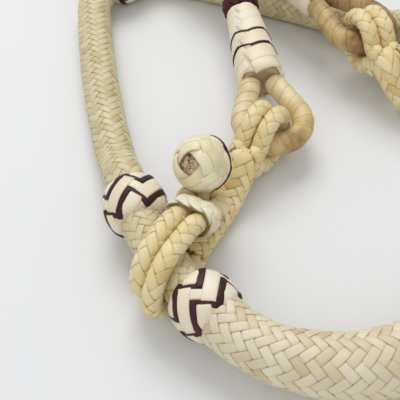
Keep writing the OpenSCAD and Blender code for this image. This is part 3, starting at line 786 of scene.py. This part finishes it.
def woven_knot(name, at, way, size, line=4.1, swing=5.8, phase=0.0):
    """Stop knot of wide white lace. Two dark laces zigzag round it, line from its middle."""
    length, d, end_d = size
    outline = barrel_outline(length - 0.9, d - 2 * STOP_LACE_IN, end_d - 2 * STOP_LACE_IN, rim=2.2)
    surf = Turned(at, way, outline)
    ring = surf.around(np.array([0.0]))[0] / STOP_PERIODS
    slants = [math.atan(swing / (part * ring)) for part in (STOP_SHARE, 1 - STOP_SHARE)]
    wide = [2 * line * math.cos(slant) - DARK_W - 0.05 for slant in slants]
    tone = random_tone(0.12, 0.3)
    s = Shape()
    fill(s, surf, -0.25, -surf.half, surf.half, 0.8, sides=40, step=0.8, caps=False)
    for mid in (-2 * line, 2 * line, 0):
        zigzag(s, surf, mid, STOP_PERIODS, swing, wide, 0.9, 0.0, tone, phase, share=STOP_SHARE)
    v = np.linspace(0, 1, 160)
    for x in (RIM_IN - surf.half, surf.half - RIM_IN):
        for k in (0, 1):
            a = 2 * np.pi * (STOP_PERIODS * v + 0.5 * k)
            strip(s, surf, x + RIM_SWING * np.sin(a), v, 0.5 + 0.3 * np.cos(a), RIM_W, 0.7,
                  0.35 + 0.2 * np.sin(9 * v), 0.08)
    piece(f"{name}_lace", s, KNOT, "noseband", [name])
    s = Shape()
    for mid in (-line, line):
        zigzag(s, surf, mid, STOP_PERIODS, swing, (DARK_W, DARK_W), 0.55, 0.5, random_tone(0.2, 0.5), phase,
               over=0.4, share=STOP_SHARE)
    piece(f"{name}_dark_lace", s, DYED, "noseband", [f"{name}_inlay"])


def build_knots():
    for side, name in ((1, "left"), (-1, "right")):
        for place, k, phase in (("front", FRONT, 0.03), ("rear", REAR, 0.1)):
            x, y, heading = stretch_end(STATES[k], ALL[k][0] / 2, 0)
            h = math.radians(heading)
            way = (math.cos(h), side * math.sin(h), 0)
            woven_knot(f"{name}_{place}_knot", (side * x, y, SEAT_Z), way, STOP_KNOT, phase=phase)
    woven_knot("jaw_knot", JAW_AT, (1, 0, 0), JAW_KNOT, line=3.6, swing=4.6)


# ---------------------------------------------------------------- loops wrapped in lace
def loop_line(r, face, half):
    """Centreline of a wrapped loop in its own plane, from one leg's end round the bend to the other's."""
    a = math.asin(r / math.hypot(face, half)) - math.atan(half / face)
    leg = np.linspace((face, half), (r * math.sin(a), r * math.cos(a)), 7)[:6]
    arc = [(r * math.sin(t), r * math.cos(t)) for t in np.linspace(a, -math.pi / 2, 24)]
    top = [tuple(point) for point in leg] + arc
    return top + [(x, -y) for x, y in top[-2::-1]]


def place_loop(points, origin, way):
    x = np.array(way) / np.linalg.norm(way)
    y = np.cross((0, 0, 1), x)
    y /= np.linalg.norm(y)
    return np.array([np.array(origin) + a * x + b * y for a, b in points])


def wrapped(shape, points, r, pitch=5.2, tan=(0.4, 0)):
    """Cord wrapped obliquely in two wide flat laces. tan is its tone at the legs, and the tone that the
    middle of the bend has more."""
    sides, starts, ridge = 26, 2, 0.26
    surf = Tube(even(points, 0.45), r)
    uu, vv = np.meshgrid(surf.s, np.arange(sides) / sides, indexing="ij")
    turn = uu / pitch - starts * vv
    part = np.modf(turn + 1000)[0]
    lap = np.minimum(1, np.minimum(part, 1 - part) * 9)
    h = -ridge * (1 - np.sqrt(np.clip(1 - (1 - lap) ** 2, 0, 1))) + 0.22 * (part - 0.5)
    rings = surf.at(uu.ravel(), vv.ravel(), (h - 0.16).ravel()).reshape(len(surf.s), sides, 3) * MM
    pick = hash01(np.floor(turn + starts * vv), 3.0)
    tint = tan[0] + tan[1] * np.exp(-((uu / surf.len - 0.5) / 0.2) ** 2) + 0.2 * (pick - 0.5)
    lace = np.stack((vv * 2 * np.pi * r, uu, pick), -1).reshape(-1, 3)
    # painted shade in the grooves where one lace laps the next
    shape.grid(rings, np.clip(tint, 0, 1).ravel(), np.clip((1 - lap) * 0.6, 0, 1).ravel(), lace=lace)


# ---------------------------------------------------------------- cheekpieces
KNOT_LACE_IN, RING_LACE_IN = 0.95, 0.75
KNOT_MOUTH = 7.2  # length of the long knot's outline inside its mouth
KNOT_LINES = (14.1, 22.7)
# White bands of the long knot: place along it, width, swing and height
KNOT_BANDS = ((2.9, 5.4, 1.8, 0.0), (9.2, 7.9, 2.3, 0.12), (18.4, 9.1, 2.3, 0.1), (27.1, 7.7, 2.3, 0.12),
              (32.9, 5.7, 2.3, 0.08), (37.8, 5.0, 1.8, 0.0))


def knot_r(x):
    return mix(KNOT_D, KNOT_END_D, x / KNOT_LEN) / 2 - KNOT_LACE_IN


def long_knot_outline():
    """Outline of the long knot from its closed mouth along its taper to its far rim."""
    mouth = [(0.9, 0.5), (0.5, 5.0), (0.0, knot_r(0) - 2.0), (0.5, knot_r(0) - 0.7), (1.6, knot_r(1.6))]
    face = [(x, knot_r(x)) for x in np.linspace(3, KNOT_LEN - 1.2, 20)]
    return mouth + face + [(KNOT_LEN - 0.3, knot_r(KNOT_LEN) - 0.5), (KNOT_LEN, knot_r(KNOT_LEN) - 1.6)]


def build_long_knot(name, cheek):
    surf = Turned(cheek_at(cheek, KNOT_FROM), cheek_way(cheek), long_knot_outline())
    zero = KNOT_MOUTH - surf.half
    periods, phase, share = 4, 0.215, 0.55
    body, node = f"{name}_cheek", f"{name}_long_knot"
    s = Shape()
    # the tube under the laces and the cap that closes the mouth get painted shade
    fill(s, surf, -0.15, -surf.half, surf.half, 0.7, sides=36, step=0.8)
    tone = random_tone(0.15, 0.3)
    for x, w, swing, h in KNOT_BANDS:
        zigzag(s, surf, x + zero, periods, swing, (w, w), 0.75, h, tone, phase, 0.3, share)
    piece(f"{node}_lace", s, KNOT, body, [node])
    s = Shape()
    tone = random_tone(0.2, 0.4)
    for x in KNOT_LINES:
        zigzag(s, surf, x + zero, periods, 2.3, (1.0, 1.0), 0.5, 0.72, tone, phase, 0.2, share)
    piece(f"{node}_dark_lace", s, DYED, body, [f"{node}_inlay"])


def build_cheek(name, cheek, strap, strap_node, tan):
    """A cheekpiece's loop, long knot, ring knot and strap. Returns the strap's surface."""
    body = f"{name}_cheek"
    s = Shape()
    loop = place_loop(loop_line(LOOP_R, LOOP_FACE, LOOP_D / 2 + 0.2), cheek.start, cheek_way(cheek))
    wrapped(s, loop, LOOP_D / 2, tan=tan)
    piece(f"{name}_cheek_loop_wrap", s, WRAP, body, [f"{name}_cheek_loop"])
    build_long_knot(name, cheek)
    s = Shape()
    outline = barrel_outline(RING_LEN, RING_D - 2 * RING_LACE_IN, RING_END_D - 2 * RING_LACE_IN, rim=1.2)
    surf = Turned(cheek_at(cheek, RING_FROM + RING_LEN / 2), cheek_way(cheek), outline)
    fill(s, surf, -0.1, -surf.half, surf.half, 0.8, sides=32, step=0.7, caps=False)
    plait(s, surf, 2.4, 4, 3.0, 0.75, seed=9)
    piece(f"{name}_ring_knot_lace", s, DYED, body, [f"{name}_ring_knot"])
    s = Shape()
    tube = Tube(dense(strap, 1.0), STRAP_R - JAW_LACE_IN)
    braid(s, tube, n=8, angle=42, thick=0.56, seed=31, base=-0.1, start=KNOT_LEN - 2, step=0.9, sharp=3.2,
          patches=0.3)
    piece(f"{name}_strap_lace", s, OLIVE, body, [strap_node])
    return tube


# ---------------------------------------------------------------- connectors
MIDDLE_LACE_IN, CORD_LACE_IN, EYE_LACE_IN = 1.1, 0.95, 0.9
KEEPER_AT, KEEPER_HALF = 16.8, 3.4


def middle_surface(c):
    """Surface of the middle braid, which tucks in at its end between the eye cords."""
    places = np.array([link(c, d, 0, z) for d, z, _, _ in BRAID])
    path = dense(places, 0.8)
    where = distances(path)
    marks = [where[np.argmin(np.linalg.norm(path - place, axis=1))] for place in places]

    def half_size(column):
        sizes = [row[column] - MIDDLE_LACE_IN for row in BRAID]
        ends = marks[-1] - 3, marks[-1]
        return lambda u: np.interp(u, marks, sizes) - 1.7 * np.interp(u, ends, (0, 1)) ** 1.5

    return Tube(path, half_size(2), half_size(3))


def build_connector(name, c, fix):
    """A connector's braids, keeper and button. fix puts a shape on its own side of the halter."""
    body = f"{name}_connector"
    s = Shape()
    cord = Tube(dense(cord_route(c), 0.7), CORD_R - CORD_LACE_IN)
    braid(s, cord, n=4, angle=40, thick=0.68, seed=41, base=-0.05)
    piece(f"{name}_cord_lace", fix(s), CORD, body, [f"{name}_connector_cord"])
    s = Shape()
    braid(s, middle_surface(c), n=8, angle=40, thick=0.7, seed=51, base=-0.1)
    piece(f"{name}_middle_braid_lace", fix(s), CORD, body, [f"{name}_middle_braid"])
    s = Shape()
    for side in (-EYE_SIDE, EYE_SIDE):
        low, high = (link(c, SPLIT - 2.2, 0.85 * side, BAR_Z + z) for z in (0.5 - EYE_OUT, EYE_OUT - 0.5))
        tube = Tube(dense([low] + eye_route(c, side) + [high], 0.7), EYE_R - EYE_LACE_IN)
        braid(s, tube, n=4, angle=40, thick=0.66, seed=61 + side, base=-0.05)
    piece(f"{name}_eye_cords_lace", fix(s), CORD, body, [f"{name}_eye_cords"])
    build_keeper(name, c, fix)
    ball = [NECK_AT[k] + c.ball[k] for k in range(3)]
    foot = [NECK_AT[k] - 0.5 * c.ball[k] for k in range(3)]
    turn, tilt = math.radians(c.heading + 170), math.radians(54)
    pole = np.array((math.cos(turn) * math.sin(tilt), math.sin(turn) * math.sin(tilt), math.cos(tilt)))
    build_button(name, body, np.array(link(c, *ball)), pole, np.array(link(c, *foot)), fix, girdle=True)


def build_keeper(name, c, fix):
    middle = np.array(link(c, KEEPER_AT, 0, strand_z(KEEPER_AT)))
    slope, h = math.atan(DROP), math.radians(c.heading)
    axis = np.array((math.cos(h) * math.cos(slope), math.sin(h) * math.cos(slope), -math.sin(slope)))
    across = np.array((-math.sin(h), math.cos(h), 0))
    surf = Stadium(middle, axis, across, STRAND, CORD_R + 0.9)
    s = Shape()
    fill_ring(s, surf, -0.2, KEEPER_HALF)
    plait(s, surf, 2.1, 3, 4.3, 0.85, seed=7, lift=0.42)
    piece(f"{name}_keeper_lace", fix(s), COVER, f"{name}_keeper", [f"{name}_keeper"])


# ---------------------------------------------------------------- buttons
COVER_FROM, COVER_TO = 172, 14  # angles from the pole between which the button's cover reaches
BALL_LACE_IN, PITH_R, ROUGH_R = 1.15, 7.3, 8.3


def arc(r, angles):
    return [(r * math.cos(math.radians(a)), r * math.sin(math.radians(a))) for a in angles]


def button_pith(ball, pole, first):
    """The core: a plain ball, and the rough face that shows in the cover's opening."""
    s = Shape()
    inner = Turned(ball, pole, arc(PITH_R, range(178, 1, -4)), first)
    fill(s, inner, 0, -inner.half, inner.half, 0.1, sides=32, step=0.9)
    rough = Turned(ball, pole, arc(ROUGH_R, np.linspace(26, 1, 14)), first)
    rings, sides = 24, 40
    uu, vv = np.meshgrid(np.linspace(-rough.half, rough.half, rings), np.arange(sides) / sides, indexing="ij")
    h = 0.45 * (hash01(np.round(uu * 1.8), np.round(vv * 24), 2.0) - 0.5)
    h[0] = -1.6
    points = rough.at(uu.ravel(), vv.ravel(), h.ravel()).reshape(rings, sides, 3) * MM
    # the tint gives speckles, and painted shade darkens the low pits of the rough face
    s.grid(points, (0.2 + 3.6 * h).ravel().clip(0, 1), np.clip(0.1 - 1.4 * h, 0, 1).ravel())
    return s


def build_button(name, body, ball, pole, foot, fix, girdle):
    """A woven button: Turk's head and neck, dark lace round the girdle if it has one, and pith."""
    first = (0.2, 0.3, 1)
    surf = Turned(ball, pole, arc(BALL_R - BALL_LACE_IN, np.linspace(COVER_FROM, COVER_TO, 80)), first)

    def u_of(angle):
        return surf.half - (angle - COVER_TO) / (COVER_FROM - COVER_TO) * 2 * surf.half

    s = Shape()
    fill(s, surf, -0.2, -surf.half, u_of(24), 0.35, sides=40, step=0.8, caps=False)
    turks_head(s, surf, u_of(142), u_of(44.5), bights=4, leads=7, width=3.8, thick=0.75, gap=3.7, seed=3)
    neck = Tube(even(np.array([foot, ball]), 0.8), NECK_R - 0.1)
    fill(s, neck, 0, 0, neck.len, 0.35, sides=16, step=1.2)
    piece(f"{name}_button_lace", fix(s), COVER, body, [f"{name}_button_cover"])
    if girdle:
        s = Shape()
        t = np.linspace(-0.1, 1.1, 14)
        for j in range(8):
            angle = 105 + (14 if j % 2 else -14) * (t - 0.5)
            w = 2.5 if j % 3 == 0 else 1.7
            strip(s, surf, u_of(angle), (j + t) / 8, 0.62 + 0.25 * (j % 2), w, 0.55, 0.3)
        piece(f"{name}_button_dark_lace", fix(s), DYED, body, [f"{name}_button_inlay"])
    s = button_pith(ball, pole, first)
    piece(f"{name}_button_pith", fix(s), PITH, body, [f"{name}_button_core"])


# ---------------------------------------------------------------- crown and lead loop
END_LEN, END_D, END_END_D, END_Z = 12, 15, 12.4, 7.5  # the knots at the straps' ends
END_LACE_IN = 0.9
CROWN_LOOP_R, CROWN_LOOP_FACE, CROWN_CORD_R = 12.4, 26, 3
LEAD_LOOP_R, LEAD_REACH, LEAD_CORD_R = 12, 42, 3.7


def end_knot(name, tube, body):
    """White knot at a strap's end. Returns where the strap ends, and its way there, level."""
    end, way = tube.p[-1].copy(), tube.t[-1].copy()
    end[2], way[2] = END_Z, 0
    way /= np.linalg.norm(way)
    outline = barrel_outline(END_LEN, END_D - 2 * END_LACE_IN, END_END_D - 2 * END_LACE_IN, rim=2.4)
    surf = Turned(end + way * (END_LEN / 2 + 0.05), way, outline)
    s = Shape()
    fill(s, surf, -0.1, -surf.half, surf.half, 0.85, sides=32, step=0.8)
    for k in range(-2, 3):
        zigzag(s, surf, 3.8 * k, 5, 3.0, (3.1, 3.1), 0.85, 0.0, random_tone(0.15, 0.25))
    piece(f"{name}_lace", s, KNOT, body, [name])
    return end, way


def build_crown_loop(tube):
    end, way = end_knot("crown_loop_knot", tube, "left_cheek")
    spot = end + way * (END_LEN + 0.1 + CROWN_LOOP_FACE)
    s = Shape()
    wrapped(s, place_loop(loop_line(CROWN_LOOP_R, CROWN_LOOP_FACE, 3.2), spot, -way), CROWN_CORD_R, pitch=4)
    piece("crown_loop_wrap", s, WRAP, "left_cheek", ["crown_loop"])


def build_crown_button(tube):
    end, way = end_knot("crown_strap_knot", tube, "right_cheek")
    ball = end + way * (END_LEN + 6 + BALL_R)
    ball[2] = BALL_R
    foot = end + way * (END_LEN + 0.1)
    build_button("crown", "right_cheek", ball, np.array((0.25, -0.6, 0.76)), foot, as_it_is, girdle=False)


def build_lead_loop():
    """The loop at the jaw, which drops from the jaw knot to the table."""
    drop = math.asin((JAW_Z - LEAD_CORD_R - 0.2) / (LEAD_REACH + LEAD_LOOP_R))
    way = np.array((0, math.cos(drop), -math.sin(drop)))
    line = loop_line(LEAD_LOOP_R, LEAD_REACH - 10.3, 4)
    s = Shape()
    wrapped(s, place_loop(line, np.array(JAW_AT) + way * LEAD_REACH, -way), LEAD_CORD_R)
    piece("lead_loop_wrap", s, WRAP, "noseband", ["lead_loop"])


def finish_core():
    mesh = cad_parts["noseband_core"].data
    mesh.materials.clear()
    mesh.materials.append(WRAP)


build_noseband()
build_knots()
build_connector("left", LEFT, as_it_is)
build_connector("right", RIGHT, mirror_x)
left_strap = build_cheek("left", LEFT_CHEEK, LEFT_STRAP, "left_cheek_strap", tan=(0.16, 0.46))
crown_strap = build_cheek("right", RIGHT_CHEEK, CROWN_STRAP, "crown_strap", tan=(0.66, 0.34))
build_crown_loop(left_strap)
build_crown_button(crown_strap)
build_lead_loop()
finish_core()
